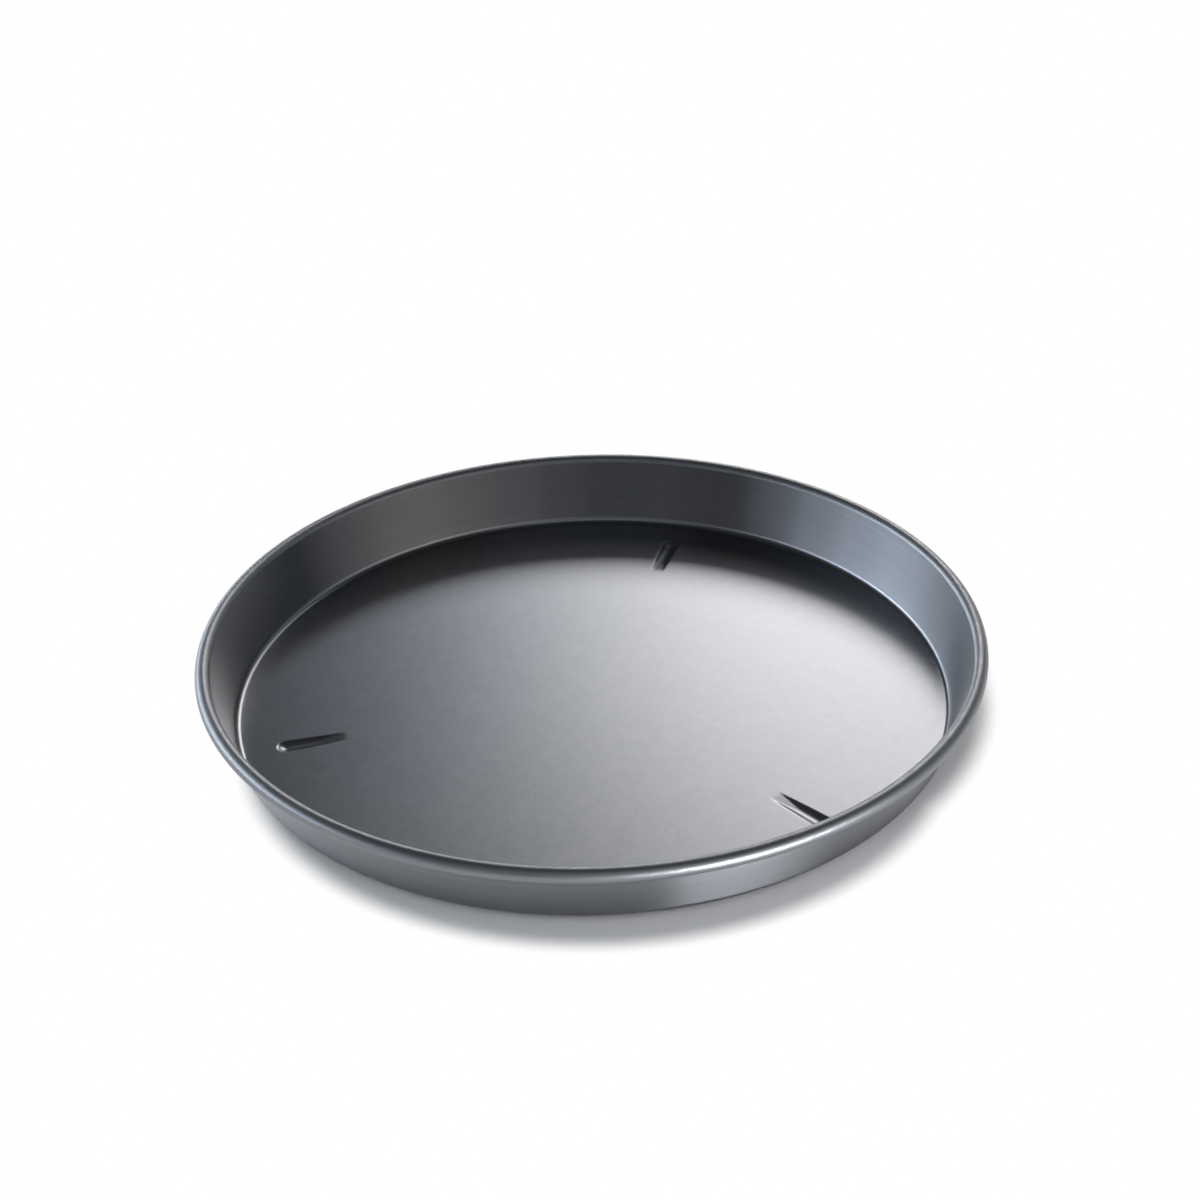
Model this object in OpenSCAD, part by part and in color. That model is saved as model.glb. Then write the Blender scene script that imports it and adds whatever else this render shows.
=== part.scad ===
// Round deep dish baking pan of hard-anodised aluminium sheet.
// Its leaning wall ends in a rim rolled round a wire, and three ribs are pressed down into its floor.
// Units are millimetres. The pan's axis is +Z, and it stands on its ribs at z = 0.

/* [Pan] */
// Inside diameter across the top, at the inner edge of the rim
top_inner_d = 406.4; // [300:0.1:460]
// Depth inside, from the top of the rim down to the floor
inside_depth = 38.1; // [28:0.1:60]
// Lean of the wall away from upright, in degrees
wall_lean = 16.5; // [6:0.5:22]
// Thickness of the aluminium sheet
sheet_t = 1.6; // [1:0.1:2]
// Radius inside the corner between floor and wall
corner_r = 4; // [2:0.5:8]

/* [Rolled rim] */
// Diameter of the wire that the rim is rolled round
wire_d = 4.8; // [3:0.1:6]
// Clearance between the wire and the inside of the curl
wire_clearance = 0.05; // [0.03:0.01:0.2]
// Slit between the cut edge of the curl and the wall
curl_slit = 0.3; // [0.2:0.1:0.8]
// Gap between the two butted ends of the wire
wire_end_gap = 1; // [0.5:0.5:5]

/* [Pressed ribs] */
// Direction of each rib from +X, in degrees
rib_angles = [72.9, 194.4, 312.2]; // [0:0.1:360]
// Distance from the outer end of a rib to the start of the corner
rib_edge_gap = 17; // [10:0.5:40]
// Length of a rib
rib_length = 36; // [24:0.5:60]
// Width of a rib near its outer end, at the level of the floor
rib_outer_w = 9.8; // [6:0.1:14]
// Width of a rib at its inner end, where it starts
rib_inner_w = 6.8; // [4:0.1:9]
// Depth of a rib at its outer end
rib_depth = 1.7; // [1:0.1:2.5]
// Slope of the ramp by which a rib starts at its inner end, in degrees
rib_ramp = 5; // [3:0.1:8]
// Depth to which the lowest part of a rib is struck flat, for the pan to stand on
foot_flat = 0.2; // [0.1:0.05:0.4]

/* [Hidden] */

// Facets of a full circle where a round face is drawn as a mesh
round_fn = 180;
// Degrees between the points of a rounded stretch of the sheet's section
arc_step = 5;
// How far a limiting block runs past the face that it limits
overrun = 1;

// Heights of the floor's two faces above the surface that the pan stands on
base_z = rib_depth - foot_flat;
floor_z = base_z + sheet_t;

// The curl: a circle of sheet round the wire, its centre on a circle round the pan's axis
curl_inner_r = wire_d / 2 + wire_clearance;
bead_r = curl_inner_r + sheet_t;
bead_c = [top_inner_d / 2 + bead_r, floor_z + inside_depth - bead_r];
curl_start = 180 - wall_lean;
curl_end = curl_start + acos((curl_inner_r - curl_slit) / bead_r) - 360;

// The corner: its centre lies where the wall, running down from the curl, meets the floor with this radius
corner_outer_r = corner_r + sheet_t;
corner_c_z = floor_z + corner_r;
corner_c_r = bead_c.x - tan(wall_lean) * (bead_c.y - corner_c_z) - (bead_r + corner_r) / cos(wall_lean);
corner_c = [corner_c_r, corner_c_z];

// A rib is the track of a ball that sinks deeper on its way outwards
rib_ball_r = ball_for(rib_outer_w / 2, rib_depth);
rib_start_depth = rib_ball_r - sqrt(rib_ball_r ^ 2 - (rib_inner_w / 2) ^ 2);
rib_start = [corner_c_r - rib_edge_gap - rib_length, floor_z + rib_ball_r - rib_start_depth];
rib_end = [corner_c_r - rib_edge_gap - rib_outer_w / 2, floor_z + rib_ball_r - rib_depth];
rib_track = rib_end - rib_start;
// How much thinner than the ball its track is drawn, so that the two cut each other cleanly
track_let_in = 0.03;

// Radius of a ball that leaves a round dent of this half width when it sinks this deep into a flat face
function ball_for(half_w, depth) = (half_w ^ 2 + depth ^ 2) / (2 * depth);

// Points along an arc, from one angle to another
function arc(centre, r, from, to) =
    let (steps = ceil(abs(to - from) / arc_step))
    [for (i = [0 : steps])
        let (angle = from + (to - from) * i / steps)
        centre + r * [cos(angle), sin(angle)]];

// The sheet cut through on one side of the axis: underside, wall, round the curl and back along the inside
function sheet_section() = concat(
    [[0, base_z]],
    arc(corner_c, corner_outer_r, -90, -wall_lean),
    arc(bead_c, curl_inner_r, curl_start, curl_end),
    arc(bead_c, bead_r, curl_end, curl_start),
    arc(corner_c, corner_r, -wall_lean, -90),
    [[0, floor_z]]
);

// The ball at the outer end of a rib, with its track towards the middle, both thicker by grow
module rib_track_body(grow) {
    translate([rib_end.x, 0, rib_end.y]) {
        sphere(rib_ball_r + grow, $fn = round_fn);
        rotate([0, atan2(rib_track.x, rib_track.y) - 180, 0])
            cylinder(h = norm(rib_track) + overrun, r = rib_ball_r + grow - track_let_in, $fn = round_fn);
    }
}

// A block that lies on the ramp of a rib, let down by grow
module block_on_ramp(grow) {
    translate([rib_start.x, 0, floor_z])
        rotate([0, rib_ramp, 0])
            translate([-rib_outer_w, -rib_outer_w, -grow])
                cube([rib_length + 2 * rib_outer_w, 2 * rib_outer_w, rib_outer_w]);
}

// What a rib takes up between two heights
module rib_slice(grow, from_z, to_z) {
    intersection() {
        rib_track_body(grow);
        block_on_ramp(grow);
        translate([rib_start.x - rib_outer_w, -rib_outer_w, from_z])
            cube([rib_length + 2 * rib_outer_w, 2 * rib_outer_w, to_z - from_z]);
    }
}

module at_ribs() {
    for (rib_angle = rib_angles)
        rotate([0, 0, rib_angle])
            children();
}

module pan_shell() {
    color([0.30, 0.31, 0.33])
        difference() {
            union() {
                rotate_extrude($fn = round_fn)
                    polygon(sheet_section());
                at_ribs() rib_slice(sheet_t, 0, base_z + sheet_t / 2);
            }
            at_ribs() rib_slice(0, 0, floor_z + overrun);
        }
}

module rim_wire() {
    color([0.72, 0.72, 0.74])
        rotate_extrude(angle = 360 - wire_end_gap / (PI * bead_c.x) * 180, $fn = round_fn)
            translate(bead_c)
                circle(d = wire_d, $fn = round_fn);
}

pan_shell();
rim_wire();
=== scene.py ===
# %% [markdown]
# ## A deep dish baking pan, in its studio
#
# The real pan is one disc of aluminium sheet. It was drawn into a shallow dish, its edge was rolled round
# a wire, three ribs were pressed down into its floor, and the whole was hard-anodised to a dark satin grey.
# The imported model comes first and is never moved: it says, in metres, where everything lies.
# Everything made after it takes its place from the same sizes, so nothing has to be fitted by eye.

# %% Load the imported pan
import math

import bmesh
import bpy
from mathutils import Matrix, Vector


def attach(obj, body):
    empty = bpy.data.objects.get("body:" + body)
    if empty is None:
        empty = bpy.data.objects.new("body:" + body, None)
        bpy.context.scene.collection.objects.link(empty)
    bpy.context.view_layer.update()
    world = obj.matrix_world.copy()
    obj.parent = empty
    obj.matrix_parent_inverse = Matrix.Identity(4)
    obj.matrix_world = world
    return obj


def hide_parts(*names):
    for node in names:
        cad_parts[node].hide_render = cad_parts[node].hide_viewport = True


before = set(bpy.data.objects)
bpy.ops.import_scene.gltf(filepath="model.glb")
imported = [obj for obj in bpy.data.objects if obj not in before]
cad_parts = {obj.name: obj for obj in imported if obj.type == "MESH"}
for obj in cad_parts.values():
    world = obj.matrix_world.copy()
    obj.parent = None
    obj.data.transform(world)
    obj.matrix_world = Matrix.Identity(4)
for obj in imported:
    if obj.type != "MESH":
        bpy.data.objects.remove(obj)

scene = bpy.context.scene
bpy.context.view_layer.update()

# %% [markdown]
# ## Sizes of the pan
#
# A maker of such pans states a few sizes: how far across it is inside at the top, how deep, how much the
# wall leans, and how thick the sheet is. All other places follow from them. They could be measured on the
# imported mesh instead, but then a reader could not see why a number is what it is, so they are written out
# here, the same in name and value as in the pan's own drawing.

# %% The driving sizes
MM = 0.001
top_inner_d = 406.4 * MM
inside_depth = 38.1 * MM
wall_lean = math.radians(16.5)
sheet_t = 1.6 * MM
corner_r = 4 * MM
wire_d = 4.8 * MM
wire_clearance = 0.05 * MM
curl_slit = 0.3 * MM
rib_angles = [math.radians(angle) for angle in (72.9, 194.4, 312.2)]
rib_edge_gap = 17 * MM
rib_length = 36 * MM
rib_outer_w = 9.8 * MM
rib_inner_w = 6.8 * MM
rib_depth = 1.7 * MM
rib_ramp = math.radians(5)
foot_flat = 0.2 * MM
print(f"inside {top_inner_d / MM:.1f} mm across the top and {inside_depth / MM:.1f} mm deep")

# %% Places that follow from them
base_z = rib_depth - foot_flat
floor_z = base_z + sheet_t
rim_z = floor_z + inside_depth
curl_inner_r = wire_d / 2 + wire_clearance
bead_r = curl_inner_r + sheet_t
bead_c = Vector((top_inner_d / 2 + bead_r, rim_z - bead_r))
corner_c = Vector((0, floor_z + corner_r))
corner_c.x = (bead_c.x - math.tan(wall_lean) * (bead_c.y - corner_c.y)
              - (bead_r + corner_r) / math.cos(wall_lean))
rib_ball_r = ((rib_outer_w / 2) ** 2 + rib_depth ** 2) / (2 * rib_depth)
rib_start_depth = rib_ball_r - math.sqrt(rib_ball_r ** 2 - (rib_inner_w / 2) ** 2)
rib_start = corner_c.x - rib_edge_gap - rib_length
rib_end = corner_c.x - rib_edge_gap - rib_outer_w / 2
print(f"rim {2 * (bead_c.x + bead_r) / MM:.1f} mm across, {rim_z / MM:.1f} mm high,"
      f" flat floor {2 * corner_c.x / MM:.1f} mm across")

# %% [markdown]
# ## Camera
#
# The photograph looks down on the pan at about 32 degrees from about three pan widths away, with the pan a
# little below the middle of the picture. Such a view can be found by turning the camera until it looks
# right, or worked out from the ellipse of the rim. Here it was worked out: the camera stands straight in
# front, and is turned so that the middle of the rim falls on its pixel. A small roll brings the rim's
# ellipse level with the one in the photograph. There is no lens shift, so every other view is as true as
# this one.

# %% The photograph's view
FRAME_PIXELS = 1200
SENSOR_MM = 36
focal_pixels = 2436.8
camera_height_angle = math.radians(31.78)
camera_roll = math.radians(1.81)
rim_radii_away = 6.317
camera_distance = rim_radii_away * bead_c.x
rim_middle = Vector((0, 0, bead_c.y))
rim_middle_pixel = (591.0, 640.2)
NEAREST_SEEN = 0.05
FARTHEST_SEEN = 50


def seen_direction(pixel):
    """Direction from the camera to what this pixel shows, as right, up and ahead."""
    middle = FRAME_PIXELS / 2
    return Vector(((pixel[0] - middle) / focal_pixels, (middle - pixel[1]) / focal_pixels, 1)).normalized()


away = Vector((0, -math.cos(camera_height_angle), math.sin(camera_height_angle)))
ahead = -away
right = Vector((1, 0, 0))
level_axes = Matrix((right, right.cross(ahead), ahead))
rolled_axes = Matrix.Rotation(camera_roll, 3, "Z") @ level_axes
turn = seen_direction(rim_middle_pixel).rotation_difference(Vector((0, 0, 1))).to_matrix()
seen_axes = turn.transposed() @ rolled_axes
print("the camera looks along", [round(part, 3) for part in seen_axes[2]])

# %% Place the camera
camera = bpy.data.objects.new("camera", bpy.data.cameras.new("camera"))
scene.collection.objects.link(camera)
camera.data.sensor_width = SENSOR_MM
camera.data.lens = SENSOR_MM * focal_pixels / FRAME_PIXELS
camera.data.clip_start = NEAREST_SEEN
camera.data.clip_end = FARTHEST_SEEN
camera_axes = Matrix((seen_axes[0], seen_axes[1], -seen_axes[2])).transposed()
camera.matrix_world = Matrix.Translation(rim_middle + away * camera_distance) @ camera_axes.to_4x4()
scene.camera = camera
print(f"camera {camera_distance:.3f} m away, lens {camera.data.lens:.1f} mm")

# %% [markdown]
# ## Helpers for node trees
#
# Both the shape and the finishes are node trees. Built line by line they would hide the idea behind them,
# so a few short helpers add a node, join or set its inputs, and do arithmetic.

# %% Helpers for any tree
def plug(tree, socket, value):
    """Join an output to this input, or set the input to a plain value."""
    if isinstance(value, bpy.types.NodeSocket):
        tree.links.new(value, socket)
    else:
        socket.default_value = value


def add(tree, kind, inputs=None, **settings):
    """Add a node, choose how it works, and fill its inputs by name or number."""
    node = tree.nodes.new(kind)
    for name, value in settings.items():
        setattr(node, name, value)
    for key, value in (inputs or {}).items():
        plug(tree, node.inputs[key], value)
    return node


def calc(tree, operation, *values, clamp=False):
    """Arithmetic on numbers and sockets."""
    node = add(tree, "ShaderNodeMath", operation=operation, use_clamp=clamp)
    for number, value in enumerate(values):
        plug(tree, node.inputs[number], value)
    return node.outputs[0]


def sum_of_squares(tree, first, second):
    """The square of the long side of a right-angled triangle."""
    return calc(tree, "ADD", calc(tree, "MULTIPLY", first, first), calc(tree, "MULTIPLY", second, second))


# %% [markdown]
# ## The sheet's section
#
# Cut the pan through from its middle to its rim and the cut is a thin strip: flat floor, small bend,
# leaning wall, then once round the wire. A revolved shape needs only that strip. It could be drawn with a
# curve and a thickness, but the bend and the curl are circles about known points, so the strip's outline is
# written as arcs about those points. Its points lie close together where the ribs are pressed and where the
# sheet curves, and wide apart elsewhere.

# %% Points along arcs and straight runs
def arc(centre, radius, start, end, step):
    """Points along an arc, both ends included. Angles are from outwards, turning upwards."""
    steps = math.ceil(abs(end - start) / step)
    angles = (start + (end - start) * i / steps for i in range(steps + 1))
    return [centre + radius * Vector((math.cos(a), math.sin(a))) for a in angles]


def between(first, last, gap):
    """Points on the straight way between two points, without those two."""
    steps = max(1, round((last - first).length / gap))
    return [first.lerp(last, i / steps) for i in range(1, steps)]


# %% How far apart the points lie
BEND_STEP = math.radians(7)
CURL_INSIDE_STEP = math.radians(15)
CURL_OUTSIDE_STEP = math.radians(6)
FLOOR_MIDDLE_GAP = 12 * MM
FLOOR_EDGE_GAP = 3 * MM
UNDER_RIB_GAP = 1.0 * MM
INSIDE_RIB_GAP = 0.7 * MM
OUTER_WALL_GAP = 4 * MM
INNER_WALL_GAP = 3 * MM
CUT_EDGE_GAP = 1.0 * MM
# The stretch with close points starts a little before a rib and ends past its round outer end
BEFORE_RIB = 3 * MM
PAST_RIB_END = 8 * MM
rib_zone = (rib_start - BEFORE_RIB, rib_end + PAST_RIB_END)
print("ribs between", [round(end / MM, 1) for end in rib_zone], "mm from the axis")


# %% Draw the section
def floor_points(height, rib_gap):
    """Points along the floor from the axis to the bend, close together where the ribs are."""
    middle, near, far, edge = (Vector((x, height)) for x in (0, *rib_zone, corner_c.x))
    return [middle, *between(middle, near, FLOOR_MIDDLE_GAP), near, *between(near, far, rib_gap), far,
            *between(far, edge, FLOOR_EDGE_GAP)]


curl_start = math.pi - wall_lean
curl_end = curl_start + math.acos((curl_inner_r - curl_slit) / bead_r) - 2 * math.pi
outer_bend = arc(corner_c, corner_r + sheet_t, -math.pi / 2, -wall_lean, BEND_STEP)
inner_bend = arc(corner_c, corner_r, -wall_lean, -math.pi / 2, BEND_STEP)
curl_inside = arc(bead_c, curl_inner_r, curl_start, curl_end, CURL_INSIDE_STEP)
curl_outside = arc(bead_c, bead_r, curl_end, curl_start, CURL_OUTSIDE_STEP)
section = [
    *floor_points(base_z, UNDER_RIB_GAP),
    *outer_bend, *between(outer_bend[-1], curl_inside[0], OUTER_WALL_GAP),
    *curl_inside,
    *between(curl_inside[-1], curl_outside[0], CUT_EDGE_GAP),
    *curl_outside, *between(curl_outside[-1], inner_bend[0], INNER_WALL_GAP),
    *inner_bend,
    *reversed(floor_points(floor_z, INSIDE_RIB_GAP)),
]
print(len(section), "points round the section")

# %% [markdown]
# ## The pan's shape, by a rule
#
# The pan is its section turned about the axis, with the ribs then pressed in. It could be spun by a Screw
# modifier and cut by Booleans, but a Boolean leaves ragged faces along a groove as shallow as this. Both
# steps follow a rule, so Geometry Nodes make them. The tree lays out a flat grid with one row for each
# point of the section and one column for each step round, reads the section's point for the row, and turns
# it by the column's angle. The columns are crowded together near the ribs, because only the ribs need them.
#
# A rib is the track of a ball that sinks deeper on its way outwards. How deep a point sinks follows from
# its distance from the ball's path, and a ramp at the inner end limits it. Both faces of the sheet sink
# together, as pressed metal does, and the lowest part of each rib is struck flat where the pan stands.

# %% Inputs of the shaping tree
shape = bpy.data.node_groups.new("turn and press", "GeometryNodeTree")
SOCKET_KINDS = {int: "NodeSocketInt", float: "NodeSocketFloat"}
# The bead and a little round it, so that all of its faces take the rim's finish
RIM_FINISH_MARGIN = 1.02
# The upper edges of the ribs are rounded by about this much, which the drawing leaves sharp
rib_rounding = 0.3 * MM


def tree_input(name, kind):
    """An input of the shaping tree. A modifier knows it by the identifier that comes back."""
    return shape.interface.new_socket(name, in_out="INPUT", socket_type=kind).identifier


shape_sizes = {
    "Steps round": 360,
    "Crowding": 0.85,
    **{f"Rib {number} angle": rib_angle for number, rib_angle in enumerate(rib_angles, start=1)},
    "Rib start": rib_start,
    "Rib end": rib_end,
    "Start depth": rib_start_depth,
    "End depth": rib_depth,
    "Ball radius": rib_ball_r,
    "Ramp slope": math.tan(rib_ramp),
    "Rounding": rib_rounding,
    "Floor radius": corner_c.x,
    "Standing height": 0.0,
    "Wall foot": corner_c.y,
    "Rim reach": bead_c.x,
    "Rim height": bead_c.y,
    "Rim thickness": RIM_FINISH_MARGIN * bead_r,
}
finish_names = ("Floor finish", "Wall finish", "Rim finish")
tree_input("Section", "NodeSocketGeometry")
size_identifiers = {name: tree_input(name, SOCKET_KINDS[type(size)]) for name, size in shape_sizes.items()}
finish_identifiers = {name: tree_input(name, "NodeSocketMaterial") for name in finish_names}
shape.interface.new_socket("Pan", in_out="OUTPUT", socket_type="NodeSocketGeometry")
print(len(size_identifiers), "sizes and", len(finish_identifiers), "finishes go into the shaping tree")

# %% Turn the section about the axis
given = shape.nodes.new("NodeGroupInput").outputs
rows = add(shape, "GeometryNodeAttributeDomainSize", {"Geometry": given["Section"]}).outputs["Point Count"]
columns = calc(shape, "ADD", given["Steps round"], 1)
grid = add(shape, "GeometryNodeMeshGrid", {"Vertices X": rows, "Vertices Y": columns})
index = shape.nodes.new("GeometryNodeInputIndex").outputs[0]
row = calc(shape, "FLOOR", calc(shape, "DIVIDE", index, columns))
column = calc(shape, "SUBTRACT", index, calc(shape, "MULTIPLY", row, columns))
place = shape.nodes.new("GeometryNodeInputPosition").outputs[0]
point = add(shape, "GeometryNodeSampleIndex", {"Geometry": given["Section"], "Value": place, "Index": row},
            data_type="FLOAT_VECTOR")
reach, _, height = add(shape, "ShaderNodeSeparateXYZ", {0: point.outputs["Value"]}).outputs
share = calc(shape, "DIVIDE", column, given["Steps round"])
even_angle = calc(shape, "MULTIPLY", share, 2 * math.pi)
from_rib = calc(shape, "SUBTRACT", even_angle, given["Rib 1 angle"])
swing = calc(shape, "SINE", calc(shape, "MULTIPLY", from_rib, len(rib_angles)))
crowd = calc(shape, "DIVIDE", calc(shape, "MULTIPLY", swing, given["Crowding"]), len(rib_angles))
angle = calc(shape, "SUBTRACT", even_angle, crowd)
print(len(shape.nodes), "nodes turn the section")

# %% Press the ribs
ball_2 = calc(shape, "MULTIPLY", given["Ball radius"], given["Ball radius"])
sinks = []
for number in range(1, len(rib_angles) + 1):
    turned = calc(shape, "SUBTRACT", angle, given[f"Rib {number} angle"])
    along = calc(shape, "MULTIPLY", reach, calc(shape, "COSINE", turned))
    aside = calc(shape, "MULTIPLY", reach, calc(shape, "SINE", turned))
    on_track = calc(shape, "MINIMUM", along, given["Rib end"])
    beyond = calc(shape, "SUBTRACT", along, on_track)
    distance_2 = sum_of_squares(shape, beyond, aside)
    depth = add(shape, "ShaderNodeMapRange", {
        "Value": on_track, "From Min": given["Rib start"], "From Max": given["Rib end"],
        "To Min": given["Start depth"], "To Max": given["End depth"]}, clamp=False).outputs[0]
    ball = calc(shape, "SQRT", calc(shape, "SUBTRACT", ball_2, distance_2))
    groove = calc(shape, "ADD", calc(shape, "SUBTRACT", ball, given["Ball radius"]), depth)
    past_start = calc(shape, "SUBTRACT", along, given["Rib start"])
    ramp = calc(shape, "MULTIPLY", past_start, given["Ramp slope"])
    trough = calc(shape, "SMOOTH_MIN", groove, ramp, given["Rounding"])
    sinks.append(calc(shape, "SMOOTH_MAX", trough, 0.0, given["Rounding"]))
deepest = sinks[0]
for sink in sinks[1:]:
    deepest = calc(shape, "MAXIMUM", deepest, sink)
on_floor = calc(shape, "LESS_THAN", reach, given["Floor radius"])
lowered = calc(shape, "SUBTRACT", height, calc(shape, "MULTIPLY", deepest, on_floor))
pressed = calc(shape, "MAXIMUM", lowered, given["Standing height"])
print(len(sinks), "ribs pressed")

# %% Close the shape
WELD_DISTANCE = 0.001 * MM
spot = add(shape, "ShaderNodeCombineXYZ", {
    "X": calc(shape, "MULTIPLY", reach, calc(shape, "COSINE", angle)),
    "Y": calc(shape, "MULTIPLY", reach, calc(shape, "SINE", angle)),
    "Z": pressed}).outputs[0]
placed = add(shape, "GeometryNodeSetPosition", {"Geometry": grid.outputs["Mesh"], "Position": spot})
closed = add(shape, "GeometryNodeMergeByDistance", {
    "Geometry": placed.outputs[0], "Distance": WELD_DISTANCE})
outwards = add(shape, "GeometryNodeFlipFaces", {"Mesh": closed.outputs[0]})
smooth = add(shape, "GeometryNodeSetShadeSmooth", {"Geometry": outwards.outputs[0]})
real = add(shape, "GeometryNodeRealizeInstances", {"Geometry": smooth.outputs[0]})
print("welded within", WELD_DISTANCE / MM, "mm")

# %% [markdown]
# Three finishes share the one sheet. Which face gets which follows from its place: all start with the
# floor's, those above the wall's foot get the wall's, and those round the wire get the rim's.

# %% Give the faces their finishes
x, y, z = add(shape, "ShaderNodeSeparateXYZ", {0: place}).outputs
out = calc(shape, "SQRT", sum_of_squares(shape, x, y))
from_rim = add(shape, "ShaderNodeCombineXYZ", {
    "X": calc(shape, "SUBTRACT", out, given["Rim reach"]),
    "Y": calc(shape, "SUBTRACT", z, given["Rim height"])}).outputs[0]
rim_gap = add(shape, "ShaderNodeVectorMath", {0: from_rim}, operation="LENGTH").outputs["Value"]
on_wall = calc(shape, "GREATER_THAN", z, given["Wall foot"])
on_rim = calc(shape, "LESS_THAN", rim_gap, given["Rim thickness"])
finished = real
for finish_name, where in zip(finish_names, (True, on_wall, on_rim)):
    finished = add(shape, "GeometryNodeSetMaterial", {
        "Geometry": finished.outputs[0], "Selection": where, "Material": given[finish_name]})
plug(shape, shape.nodes.new("NodeGroupOutput").inputs["Pan"], finished.outputs[0])
print(len(shape.nodes), "nodes in the shaping tree")

# %% [markdown]
# ## What the finishes share
#
# Hard anodising grows a thin hard layer out of the aluminium. The bath etches a grain far finer than a
# millimetre first, and the layer's thickness, which makes it lighter or darker, wanders a little from place
# to place. The tools that drew the wall and rolled the rim also left faint lines all the way round. These
# effects show in more than one finish, so each is a shader node group, made once and used with its own
# values in each finish. A group gives out masks only, and the finish decides what a mask does to its
# colour, gloss and relief.

# %% Helpers for finishes
def noise(tree, place, scale, detail, roughness=0.5):
    """Cloudy noise around 0.5. Its scale is one over the size of a cloud."""
    return add(tree, "ShaderNodeTexNoise", {
        "Vector": place, "Scale": scale, "Detail": detail, "Roughness": roughness}).outputs["Fac"]


def rise(tree, value, start, end):
    """A mask that goes smoothly from 0 at the start to 1 at the end."""
    return add(tree, "ShaderNodeMapRange", {"Value": value, "From Min": start, "From Max": end},
               interpolation_type="SMOOTHSTEP").outputs[0]


def mix_colours(tree, share, first, second):
    """A colour between two others. A Mix node has its colours at sockets 6 and 7 and gives one at 2."""
    return add(tree, "ShaderNodeMix", {0: share, 6: first, 7: second}, data_type="RGBA").outputs[2]


def relief(tree, height, strength):
    """Small ups and downs of a surface, whose height is in metres because the distance is 1."""
    return add(tree, "ShaderNodeBump", {"Strength": strength, "Distance": 1.0, "Height": height}).outputs[0]


# %% Helpers for groups
def new_group(name, takes, gives):
    """A shader node group, its inputs by name, and a function that joins its outputs."""
    group = bpy.data.node_groups.new(name, "ShaderNodeTree")
    for title, value in takes.items():
        kind = "NodeSocketVector" if value is None else "NodeSocketFloat"
        socket = group.interface.new_socket(title, in_out="INPUT", socket_type=kind)
        if value is not None:
            socket.default_value = value
    for title in gives:
        group.interface.new_socket(title, in_out="OUTPUT", socket_type="NodeSocketFloat")
    ends = group.nodes.new("NodeGroupOutput")

    def give(title, value):
        plug(group, ends.inputs[title], value)

    return group, group.nodes.new("NodeGroupInput").outputs, give


def use_group(tree, group, **values):
    """Place a group in a tree. An underscore in a name stands for a space."""
    node = add(tree, "ShaderNodeGroup", node_tree=group)
    for name, value in values.items():
        plug(tree, node.inputs[name.replace("_", " ")], value)
    return node.outputs


# %% Etched grain
etched_grain, takes, give = new_group(
    "etched grain", {"Place": None, "Grain size": 0.5 * MM, "Patch size": 6 * MM}, ["Grain", "Patches"])
grain_scale = calc(etched_grain, "DIVIDE", 1.0, takes["Grain size"])
patch_scale = calc(etched_grain, "DIVIDE", 1.0, takes["Patch size"])
give("Grain", noise(etched_grain, takes["Place"], grain_scale, detail=2.0))
give("Patches", noise(etched_grain, takes["Place"], patch_scale, detail=3.0, roughness=0.6))
print("etched grain:", len(etched_grain.nodes), "nodes")

# %% [markdown]
# A line left by a rolling tool keeps its height and its distance from the axis all the way round, so it is
# noise that changes fast with those two and slowly with the direction from the axis. The direction is fed
# in as a point on a small circle and not as an angle, because an angle jumps at one place and would leave a
# seam there. The circle's radius is the drift: the larger it is, the sooner a line fades into another.

# %% Tool lines
tool_lines, takes, give = new_group(
    "tool lines", {"Place": None, "Line width": 0.6 * MM, "Drift": 1.2}, ["Lines"])
x, y, z = add(tool_lines, "ShaderNodeSeparateXYZ", {0: takes["Place"]}).outputs
flat_place = add(tool_lines, "ShaderNodeCombineXYZ", {"X": x, "Y": y}).outputs[0]
outwards = add(tool_lines, "ShaderNodeVectorMath", {0: flat_place}, operation="NORMALIZE").outputs[0]
round_spot = add(tool_lines, "ShaderNodeVectorMath", {0: outwards, "Scale": takes["Drift"]},
                 operation="SCALE").outputs[0]
reach = add(tool_lines, "ShaderNodeVectorMath", {0: flat_place}, operation="LENGTH").outputs["Value"]
lines_up = calc(tool_lines, "DIVIDE", z, takes["Line width"])
lines_out = calc(tool_lines, "DIVIDE", reach, takes["Line width"])
lift = add(tool_lines, "ShaderNodeCombineXYZ", {"Z": lines_up}).outputs[0]
spot = add(tool_lines, "ShaderNodeVectorMath", {0: round_spot, 1: lift}, operation="ADD").outputs[0]
ringed = add(tool_lines, "ShaderNodeTexNoise", {
    "Vector": spot, "W": lines_out, "Scale": 1.0, "Detail": 3.0, "Roughness": 0.6}, noise_dimensions="4D")
give("Lines", ringed.outputs["Fac"])
print("tool lines:", len(tool_lines.nodes), "nodes")

# %% [markdown]
# The rim's top and the feet touch other things, stacked pans above all. There the dark layer is rubbed a
# little lighter and smoother, in broken patches. How much a spot is rubbed follows from its height and from
# noise that breaks it up.

# %% Rubbed places
PATCH_START = 0.45
PATCH_FULL = 0.7
rubbed_place, takes, give = new_group(
    "rubbed place", {"Place": None, "Clear at": 0.0, "Full at": 1.0, "Patch size": 9 * MM}, ["Rubbed"])
z = add(rubbed_place, "ShaderNodeSeparateXYZ", {0: takes["Place"]}).outputs[2]
near = rise(rubbed_place, z, takes["Clear at"], takes["Full at"])
patch_scale = calc(rubbed_place, "DIVIDE", 1.0, takes["Patch size"])
broken = noise(rubbed_place, takes["Place"], patch_scale, detail=5.0, roughness=0.7)
patchy = rise(rubbed_place, broken, PATCH_START, PATCH_FULL)
give("Rubbed", calc(rubbed_place, "MULTIPLY", near, patchy))
print("rubbed place:", len(rubbed_place.nodes), "nodes")

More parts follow.
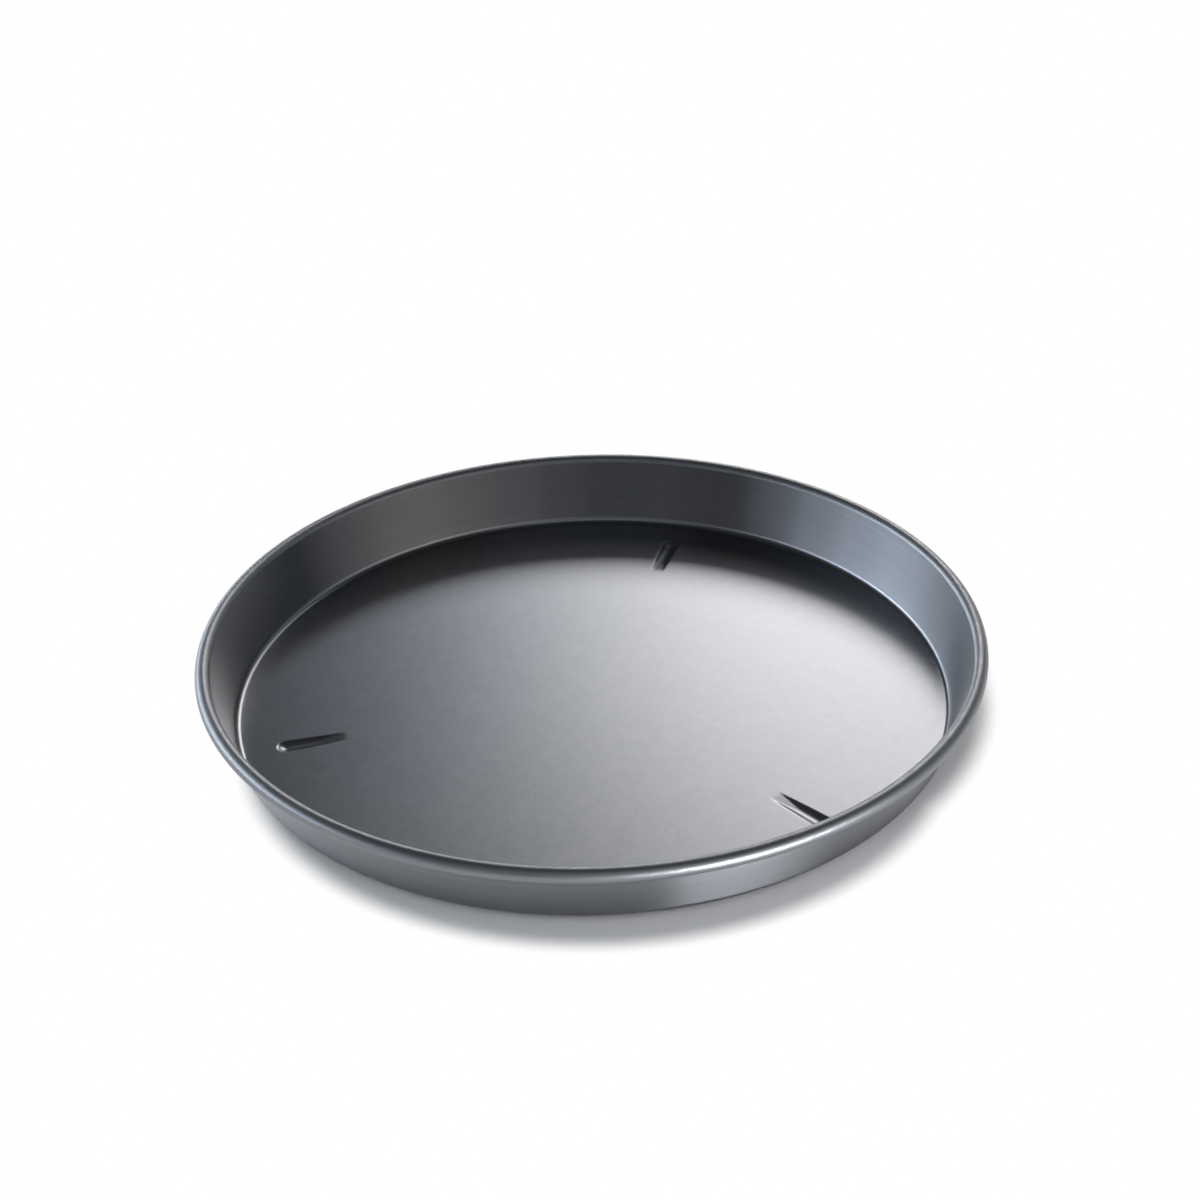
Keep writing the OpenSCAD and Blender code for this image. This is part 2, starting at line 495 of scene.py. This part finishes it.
# %% [markdown]
# ## Hard-anodised finishes
#
# One sheet, three finishes. The floor and the bend round it stay as the sheet was rolled: an even satin.
# The wall was drawn through a ring, which left lines so fine that they show mainly in the gloss: a light is
# smeared up and down the wall and stays sharp sideways. That is anisotropic gloss round the axis, turned a
# quarter. The rim was rolled over its wire by a tool, so it is rougher, with narrow lines round it. A mix
# of the three by a mask would do as well, but the smear is a plain number on the shader, and as three
# materials it stays one. Anodised aluminium is a metal to the eye, so Metallic is 1 and its grey is what
# it mirrors.

# %% Colours and measures of the anodised layer
anodised_dark = (0.175, 0.183, 0.201, 1)
anodised_light = (0.235, 0.243, 0.261, 1)
rubbed_grey = (0.30, 0.30, 0.31, 1)
GRAIN_SIZE = 0.7 * MM
PATCH_SIZE = 7 * MM
GRAIN_SHARE = 0.6
# Values of the noise at which the layer is darkest and lightest, and its middle
DARKEST_AT = 0.25
LIGHTEST_AT = 0.75
NOISE_MIDDLE = 0.5
ROUGHNESS_SWAY = 0.08
RUBBED_COLOUR_SHARE = 0.35
RUBBED_SMOOTHING = 0.03
RELIEF_HEIGHT = 0.004 * MM
RELIEF_STRENGTH = 0.3
QUARTER_TURN = 0.25
print("anodised greys from", anodised_dark[:3], "to", anodised_light[:3])


# %% The maker of the three finishes
def new_material(name):
    """A material, its tree, its shader, and the place on the piece that its patterns are drawn by."""
    material = bpy.data.materials.new(name)
    material.use_nodes = True
    tree = material.node_tree
    return material, tree, tree.nodes["Principled BSDF"], add(tree, "ShaderNodeTexCoord").outputs["Object"]


def anodised(name, roughness, smear, line_width, line_share, rubbed_from, rubbed_to):
    """A hard-anodised finish. line_share is how far tool lines, not grain, set its shade and relief."""
    material, tree, gloss, place = new_material(name)
    grain = use_group(tree, etched_grain, Place=place, Grain_size=GRAIN_SIZE, Patch_size=PATCH_SIZE)
    lines = use_group(tree, tool_lines, Place=place, Line_width=line_width)["Lines"]
    rubbed = use_group(tree, rubbed_place, Place=place, Clear_at=rubbed_from, Full_at=rubbed_to)["Rubbed"]
    patches = calc(tree, "MULTIPLY", grain["Patches"], 1 - GRAIN_SHARE)
    speckle = calc(tree, "MULTIPLY_ADD", grain["Grain"], GRAIN_SHARE, patches)
    shade = add(tree, "ShaderNodeMix", {"Factor": line_share, "A": speckle, "B": lines}).outputs[0]
    lightness = add(tree, "ShaderNodeMapRange", {
        "Value": shade, "From Min": DARKEST_AT, "From Max": LIGHTEST_AT}).outputs[0]
    layer = mix_colours(tree, lightness, anodised_dark, anodised_light)
    rubbed_share = calc(tree, "MULTIPLY", rubbed, RUBBED_COLOUR_SHARE)
    plug(tree, gloss.inputs["Base Color"], mix_colours(tree, rubbed_share, layer, rubbed_grey))
    sway = calc(tree, "SUBTRACT", shade, NOISE_MIDDLE)
    rough = calc(tree, "MULTIPLY_ADD", sway, ROUGHNESS_SWAY, roughness)
    plug(tree, gloss.inputs["Roughness"], calc(tree, "MULTIPLY_ADD", rubbed, -RUBBED_SMOOTHING, rough))
    ups_and_downs = calc(tree, "MULTIPLY", shade, RELIEF_HEIGHT)
    plug(tree, gloss.inputs["Normal"], relief(tree, ups_and_downs, RELIEF_STRENGTH))
    gloss.inputs["Metallic"].default_value = 1.0
    if smear:
        gloss.inputs["Anisotropic"].default_value = smear
        gloss.inputs["Anisotropic Rotation"].default_value = QUARTER_TURN
        round_axis = add(tree, "ShaderNodeTangent", direction_type="RADIAL", axis="Z").outputs[0]
        plug(tree, gloss.inputs["Tangent"], round_axis)
    return material


# %% The three finishes
finishes = {
    "Floor finish": anodised(
        "anodised_floor", roughness=0.30, smear=0.0, line_width=1.0 * MM, line_share=0.0,
        rubbed_from=0.35 * MM, rubbed_to=0.0),
    "Wall finish": anodised(
        "anodised_wall", roughness=0.34, smear=0.95, line_width=0.8 * MM, line_share=0.7,
        rubbed_from=rim_z, rubbed_to=rim_z + 1 * MM),
    "Rim finish": anodised(
        "anodised_rim", roughness=0.44, smear=0.0, line_width=0.3 * MM, line_share=0.4,
        rubbed_from=rim_z - 1.4 * MM, rubbed_to=rim_z - 0.1 * MM),
}
print([material.name for material in finishes.values()])

# %% [markdown]
# ## The pan
#
# The modifier's inputs are set before it is first worked out, by their identifiers, since names may repeat.
# The result is turned into a plain mesh, so the piece holds its shape without the tree.

# %% Make the pan
strip = bpy.data.meshes.new("section")
strip.from_pydata([(x, 0, z) for x, z in section], [(i, i + 1) for i in range(len(section) - 1)], [])
pan = bpy.data.objects.new("anodised_pan", strip)
scene.collection.objects.link(pan)
shaping = pan.modifiers.new("turn and press", "NODES")
shaping.node_group = shape
for name, size in shape_sizes.items():
    shaping[size_identifiers[name]] = size
for name, material in finishes.items():
    shaping[finish_identifiers[name]] = material
worked_out = bpy.context.evaluated_depsgraph_get()
pan_mesh = bpy.data.meshes.new_from_object(pan.evaluated_get(worked_out), depsgraph=worked_out)
pan.modifiers.remove(shaping)
pan.data = pan_mesh
pan_mesh.name = "anodised_pan"
# The grid starts without a finish, which leaves an empty slot behind
for number in reversed([i for i, material in enumerate(pan_mesh.materials) if material is None]):
    pan_mesh.materials.pop(index=number)
print("faces by finish:", [sum(p.material_index == i for p in pan_mesh.polygons) for i in range(3)],
      [material.name for material in pan_mesh.materials])

# %% Check the pan
check = bmesh.new()
check.from_mesh(pan_mesh)
open_edges = sum(not edge.is_manifold for edge in check.edges)
triangles = sum(len(face.verts) - 2 for face in check.faces)
volume = check.calc_volume(signed=True) / MM ** 3
print(f"{triangles} triangles, {open_edges} open edges, {volume:.0f} cubic mm")
check.free()

# %% Say what the pan stands for
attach(pan, "root")
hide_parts("pan_shell")
print(pan.name, "replaces pan_shell")

# %% [markdown]
# ## The wire in the rim
#
# A round aluminium wire fills the rim and keeps it stiff. It shows only as a gleam in the slit under the
# rim, where the sheet's edge stops just short of the wall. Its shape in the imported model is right, so it
# stays as it is and gets its finish here. The wire was pulled through a die, which scores fine lines along
# it. Bent into a ring, it carries them round the pan, so they are the tool lines again, only finer. It was
# put in bare, so it is much lighter than the sheet, with patches that have gone dull.

# %% Drawn wire
wire_bright = (0.72, 0.72, 0.74, 1)
wire_dull = (0.50, 0.50, 0.51, 1)
DIE_LINE_WIDTH = 0.12 * MM
DIE_LINE_DRIFT = 0.6
DIE_LINE_STRENGTH = 0.6
DULL_PATCH_SIZE = 5 * MM
DULL_CONTRAST = 1.6
DULL_SHIFT = -0.3
WIRE_ROUGHNESS = 0.15
DULL_ROUGHNESS = 0.3
drawn, drawn_tree, gleam, along_ring = new_material("drawn_wire")
die_lines = use_group(drawn_tree, tool_lines, Place=along_ring, Line_width=DIE_LINE_WIDTH,
                      Drift=DIE_LINE_DRIFT)["Lines"]
dulled = use_group(drawn_tree, etched_grain, Place=along_ring, Patch_size=DULL_PATCH_SIZE)["Patches"]
dull_share = calc(drawn_tree, "MULTIPLY_ADD", dulled, DULL_CONTRAST, DULL_SHIFT, clamp=True)
wire_rough = calc(drawn_tree, "MULTIPLY_ADD", dulled, DULL_ROUGHNESS, WIRE_ROUGHNESS)
scores = calc(drawn_tree, "MULTIPLY", die_lines, RELIEF_HEIGHT)
plug(drawn_tree, gleam.inputs["Base Color"], mix_colours(drawn_tree, dull_share, wire_bright, wire_dull))
plug(drawn_tree, gleam.inputs["Roughness"], wire_rough)
plug(drawn_tree, gleam.inputs["Normal"], relief(drawn_tree, scores, DIE_LINE_STRENGTH))
gleam.inputs["Metallic"].default_value = 1.0
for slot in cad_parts["rim_wire"].material_slots:
    slot.material = drawn
print("rim_wire:", [slot.material.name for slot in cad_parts["rim_wire"].material_slots])

# %% [markdown]
# ## Floor
#
# The photograph's ground is white paper with one compact soft shadow, close round the pan. Paper is a plain
# matt white with a faint tooth. It could be lit until it turns white, but the same light would bleach the
# pan. So it is lit plainly where the shadow falls, and beyond the shadow's edge the camera and the metal
# see it as clean white of strength 1. The shadow in the photograph has the outline of two overlapping
# discs, as a round pan throws under two lamps: one falls to the front and one to the right. The change from
# lit to clean is measured from the middle of each disc, by a Mapping node that moves the zero point there,
# and the smaller of the two counts.

# %% The floor
PAPER_DROP = 0.1 * MM
PAPER_HALF = 20
sides = ((-1, -1), (1, -1), (1, 1), (-1, 1))
paper_corners = [(x * PAPER_HALF, y * PAPER_HALF, -PAPER_DROP) for x, y in sides]
floor_mesh = bpy.data.meshes.new("studio_floor")
floor_mesh.from_pydata(paper_corners, [], [(0, 1, 2, 3)])
floor = bpy.data.objects.new("studio_floor", floor_mesh)
scene.collection.objects.link(floor)
print("a sheet of paper", 2 * PAPER_HALF, "m across")

# %% White paper
paper_grey = (0.88, 0.88, 0.88, 1)
paper_light = (0.92, 0.92, 0.92, 1)
TOOTH_SIZE = 0.8 * MM
TOOTH_HEIGHT = 0.03 * MM
TOOTH_STRENGTH = 0.3
PAPER_ROUGHNESS = 0.9
paper, paper_tree, matt, paper_place = new_material("white_paper")
tooth = noise(paper_tree, paper_place, 1 / TOOTH_SIZE, detail=3.0)
bumps = calc(paper_tree, "MULTIPLY", tooth, TOOTH_HEIGHT)
plug(paper_tree, matt.inputs["Base Color"], mix_colours(paper_tree, tooth, paper_grey, paper_light))
plug(paper_tree, matt.inputs["Normal"], relief(paper_tree, bumps, TOOTH_STRENGTH))
matt.inputs["Roughness"].default_value = PAPER_ROUGHNESS
matt.inputs["Specular IOR Level"].default_value = 0.0
floor_mesh.materials.append(paper)
print("paper:", len(paper_tree.nodes), "nodes")

# %% Clean white beyond the shadow
# Middle and radius of each disc, and where round its edge the paper starts and ends to turn clean
shadow_discs = (((3 * MM, -24 * MM, 0), 189 * MM), ((20 * MM, 14 * MM, 0), 196 * MM))
LIT_WITHIN = -9 * MM
CLEAN_BEYOND = 8 * MM
seen_by = add(paper_tree, "ShaderNodeLightPath").outputs
seen = calc(paper_tree, "MAXIMUM", seen_by["Is Camera Ray"], seen_by["Is Glossy Ray"])
far = calc(paper_tree, "MAXIMUM", seen, seen_by["Is Transmission Ray"])
for middle, radius in shadow_discs:
    from_disc = add(paper_tree, "ShaderNodeMapping", {
        "Vector": paper_place, "Location": [-part for part in middle]})
    from_middle = add(paper_tree, "ShaderNodeVectorMath", {0: from_disc.outputs[0]}, operation="LENGTH")
    beyond_disc = rise(paper_tree, from_middle.outputs["Value"], radius + LIT_WITHIN, radius + CLEAN_BEYOND)
    far = calc(paper_tree, "MINIMUM", far, beyond_disc)
clean = add(paper_tree, "ShaderNodeEmission", {"Color": (1, 1, 1, 1), "Strength": 1.0})
paper_mix = add(paper_tree, "ShaderNodeMixShader", {0: far, 1: matt.outputs[0], 2: clean.outputs[0]})
plug(paper_tree, paper_tree.nodes["Material Output"].inputs["Surface"], paper_mix.outputs[0])
print("the shadow lies within", len(shadow_discs), "discs")

# %% [markdown]
# ## Light
#
# A satin metal shows mostly what stands round it, so its light is laid out as it shows in the pan. Each
# lamp is a soft panel that fills a range of directions, and its brightness is that of its face, so a panel
# can be made larger without making its picture in the metal brighter.
#
# A bright warm panel behind, a little to the right, makes the sheen on the floor. A low one under it adds
# a little to the floor and the rim. Bluish panels on the left light the wall on the right, and weak ones in
# front light the wall at the back. A small strip lies on the table in front on the right: it puts the bright
# stretch on the outside of the wall and, being low and close, hardly reaches the inside. A lamp high above
# gives the paper its compact shadow. It is kept out of the metal's gloss, where it would only be a white
# spark on the rim. Except for the strip the lamps are far off, so all of the pan sees them alike.
#
# Where a panel ends at once, the drawn wall shows a hard step, as it smears light only up and down. So most
# panels are feathered: a few layers, each narrower than the one before, fade them out sideways.

# %% Soft panels
PANEL_DISTANCE = 12
STRIP_DISTANCE = 0.7
FEATHER_LAYERS = 4
WHITE = (1, 1, 1)


def soft_panel(name, azimuths, elevations, brightness, tint=WHITE, distance=PANEL_DISTANCE):
    """A soft lamp that fills a range of directions, in degrees. Azimuth 0 is the pan's right, 90 behind."""
    middle, height = math.radians(sum(azimuths) / 2), math.radians(sum(elevations) / 2)
    level = math.cos(height)
    out = Vector((math.cos(middle) * level, math.sin(middle) * level, math.sin(height)))
    data = bpy.data.lights.new(name, "AREA")
    data.shape = "RECTANGLE"
    data.size = 2 * distance * level * math.tan(math.radians(azimuths[1] - azimuths[0]) / 2)
    data.size_y = 2 * distance * math.tan(math.radians(elevations[1] - elevations[0]) / 2)
    # The face of an area lamp is as bright as its power, shared out over its area and over pi
    data.energy = brightness * math.pi * data.size * data.size_y
    data.color = tint
    lamp = bpy.data.objects.new(name, data)
    scene.collection.objects.link(lamp)
    lamp.location = out * distance
    lamp.rotation_mode = "QUATERNION"
    lamp.rotation_quaternion = out.to_track_quat("Z", "Y")
    lamp.visible_camera = False
    return lamp


def feathered_panel(name, azimuths, full, elevations, brightness, tint=WHITE, distance=PANEL_DISTANCE):
    """A soft panel in layers, from all of its azimuths down to those where it has its full brightness."""
    for layer in range(FEATHER_LAYERS):
        share = layer / (FEATHER_LAYERS - 1)
        ends = [a + (b - a) * share for a, b in zip(azimuths, full)]
        part = brightness / FEATHER_LAYERS
        soft_panel(f"{name}_layer_{layer + 1}", ends, elevations, part, tint, distance)


# %% Lamps behind the pan
# After the name: azimuths, in a feathered panel those with full brightness, elevations, brightness, tint
warm = (1.02, 1.0, 0.965)
warmer = (1.05, 1.0, 0.94)
blue = (0.72, 0.98, 1.30)
feathered_panel("back_right_panel", (62, 93), (77, 87), (21, 34), 7.1, warmer)
soft_panel("back_panel", (84, 98), (20, 34), 0.6, blue)
soft_panel("back_right_tall", (62, 84), (34, 50), 1.9)
soft_panel("back_low", (60, 110), (1, 12), 0.8, warm)
print(len(bpy.data.lights), "lamps behind the pan, with each layer as one")

# %% Lamps beside and in front of it
cooler = (0.90, 1.0, 1.10)
feathered_panel("left_panel", (90, 218), (146, 170), (7, 20), 8.6, cooler)
feathered_panel("left_panel_high", (120, 206), (146, 180), (20, 36), 1.2, cooler)
feathered_panel("front_panel", (192, 290), (216, 250), (7, 36), 0.3)
feathered_panel("front_right_panel", (270, 366), (314, 340), (7, 36), 1.15, warmer)
soft_panel("right_panel", (350, 420), (22, 45), 0.35, cooler)
soft_panel("front_top_panel", (235, 305), (40, 70), 0.4, cooler)
feathered_panel("front_right_strip", (288, 326), (289, 308), (0.1, 2.3), 150, distance=STRIP_DISTANCE)
print(len(bpy.data.lights), "lamps round the pan")

# %% The lamp that throws the shadow
key = soft_panel("key", (87, 157), (65, 85), 16.5, warm)
key.visible_glossy = False
print(len(bpy.data.lights), "lamps in all")

# %% [markdown]
# The rest of the room is nearly dark. Only low down behind the pan there is a glow, as of a pale wall,
# which fades upwards and to the sides.

# %% The dim room
ROOM_BRIGHTNESS = 0.05
GLOW_BRIGHTNESS = 1.5
GLOW_TOP = 0.2
GLOW_FULL_BELOW = 0.02
GLOW_STARTS = 0.1
GLOW_FULL_BEHIND = 0.6
world = bpy.data.worlds.new("studio")
scene.world = world
world.use_nodes = True
room = world.node_tree
direction = add(room, "ShaderNodeTexCoord").outputs["Generated"]
toward = add(room, "ShaderNodeSeparateXYZ", {0: direction}).outputs
low = rise(room, toward["Z"], GLOW_TOP, GLOW_FULL_BELOW)
behind = rise(room, toward["Y"], GLOW_STARTS, GLOW_FULL_BEHIND)
glow = calc(room, "MULTIPLY", calc(room, "MULTIPLY", low, behind), GLOW_BRIGHTNESS)
backdrop = room.nodes["Background"].inputs
plug(room, backdrop["Color"], (1, 1, 1, 1))
plug(room, backdrop["Strength"], calc(room, "ADD", glow, ROOM_BRIGHTNESS))
print("room:", len(room.nodes), "nodes")

# %% [markdown]
# ## Finish
#
# Standard shows each colour about as it is written.

# %% Finish
scene.view_settings.view_transform = "Standard"
